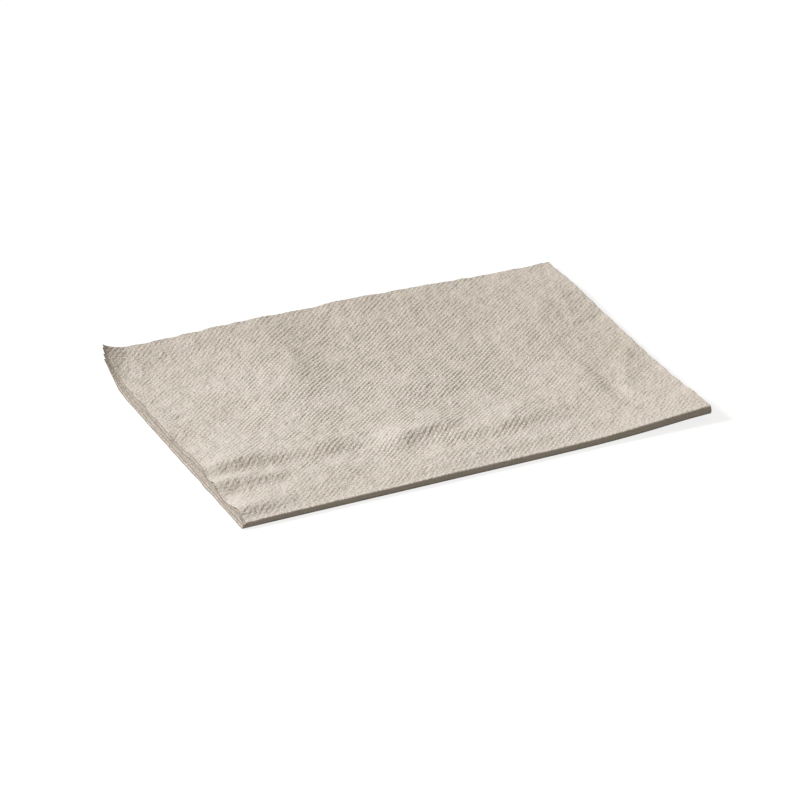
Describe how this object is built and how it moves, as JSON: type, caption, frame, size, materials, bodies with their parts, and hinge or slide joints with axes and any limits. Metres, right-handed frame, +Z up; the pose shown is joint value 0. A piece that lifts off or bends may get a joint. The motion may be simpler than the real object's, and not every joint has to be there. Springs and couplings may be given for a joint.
{
  "type": "paper napkin",
  "caption": "Embossed unbleached paper napkin, folded in half and in half again, lying flat with its open corner curled up.",
  "frame": {"origin": "middle of the underside of the folded napkin, at its bounding box's bottom centre", "axes": "+X along the long side, towards the first fold; -Y towards the second fold, which is the front edge; +Z up"},
  "size_m": [0.165, 0.142, 0.0078],
  "materials": {
    "napkin_paper": "matt, unbleached, finely embossed, with short darker fibres"
  },
  "bodies": {
    "root": {"napkin": "napkin_paper"}
  },
  "joints": []
}
